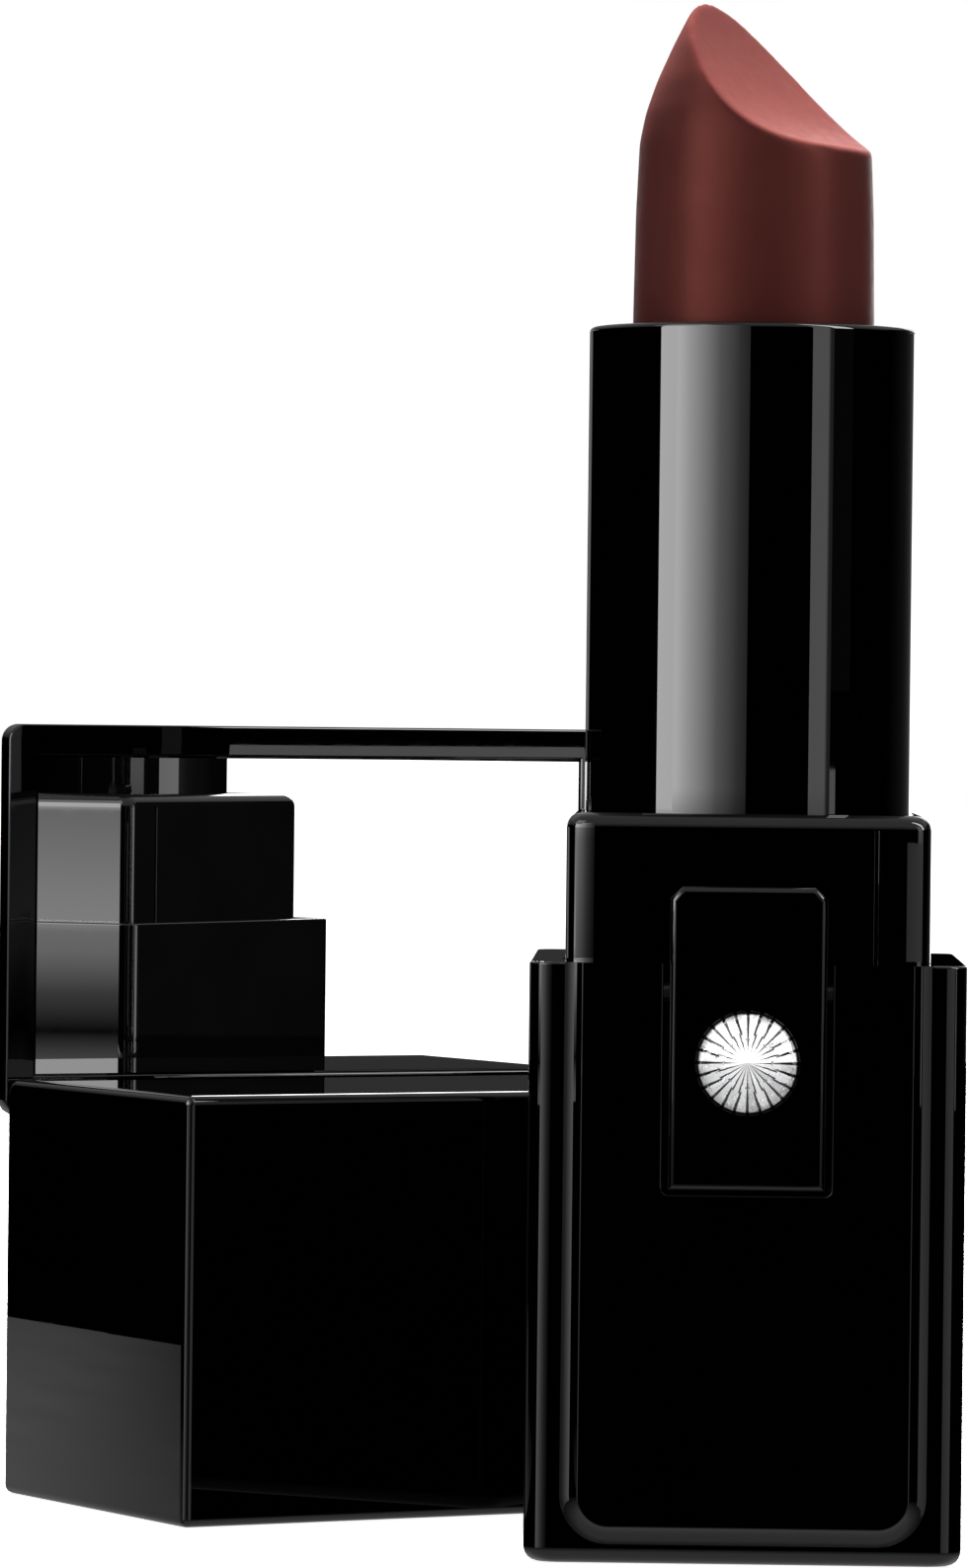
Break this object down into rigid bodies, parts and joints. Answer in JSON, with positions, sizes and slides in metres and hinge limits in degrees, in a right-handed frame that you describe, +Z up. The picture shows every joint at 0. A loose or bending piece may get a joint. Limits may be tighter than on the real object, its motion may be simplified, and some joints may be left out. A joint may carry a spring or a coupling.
{
  "type": "lipstick case",
  "caption": "Square lipstick case: twist-up lipstick in an upright base with a push catch, beside its lying cap with an open mirror lid.",
  "frame": {"origin": "centre of the foot of the base, on the axis of the round tube", "axes": "+Z up along the tube, +X along the lying cap towards its open mouth, +Y from the cap's front towards its mirror lid; the base's front faces 30.2 degrees from -Y towards -X"},
  "size_m": [0.0374, 0.055, 0.0776],
  "materials": {
    "gloss_black": "polished",
    "inner_black": "moulded",
    "steel": "plain",
    "foil": "polished",
    "crystal": "faceted",
    "glide_plastic": "moulded",
    "lipstick": "waxy satin",
    "foam": "matte",
    "mirror": "silvered"
  },
  "bodies": {
    "base": {"outer_sleeve": "gloss_black", "bottom_cover": "inner_black", "ballast_weight": "steel", "collar": "gloss_black", "inner_guide": "glide_plastic", "catch_pin": "inner_black", "catch_spring": "steel"},
    "catch": {"catch_tongue": "gloss_black", "crystal_setting": "foil", "crystal": "crystal"},
    "tube": {"outer_tube": "gloss_black", "spiral_sleeve": "inner_black", "glide_ring": "glide_plastic"},
    "carrier": {"carrier_cup": "glide_plastic", "lipstick_bullet": "lipstick"},
    "cap": {"cap_shell": "gloss_black", "cap_liner": "inner_black", "cap_end_pad": "foam", "hinge_pin_closed_end": "steel", "hinge_pin_mouth_end": "steel"},
    "lid": {"lid_frame": "gloss_black", "mirror_glass": "mirror", "mirror_adhesive": "foam"}
  },
  "joints": [
    {"name": "tube_twist", "type": "hinge", "parent": "base", "child": "tube", "pos_m": [0, 0, 0.03], "axis": [0, 0, 1], "range_deg": [0, 450]},
    {"name": "bullet_lift", "type": "slide", "parent": "base", "child": "carrier", "axis": [0, 0, 1], "range_m": [-0.0175, 0]},
    {"name": "catch_press", "type": "hinge", "parent": "base", "child": "catch", "pos_m": [-0.00571, -0.00981, 0.028], "axis": [0.8643, -0.503, 0], "range_deg": [0, 3], "stiffness_Nm_per_rad": 0.02, "springref_deg": -2.86},
    {"name": "cap_lift", "type": "slide", "parent": "base", "child": "cap", "axis": [0, 0, 1], "range_m": [0, 0.06]},
    {"name": "mirror_hinge", "type": "hinge", "parent": "cap", "child": "lid", "pos_m": [-0.0049, 0.03665, 0.021], "axis": [1, 0, 0], "range_deg": [0, 90]}
  ],
  "couplings": [
    {"joint": "bullet_lift", "follows": "tube_twist", "m_per_rad": -0.002228}
  ]
}
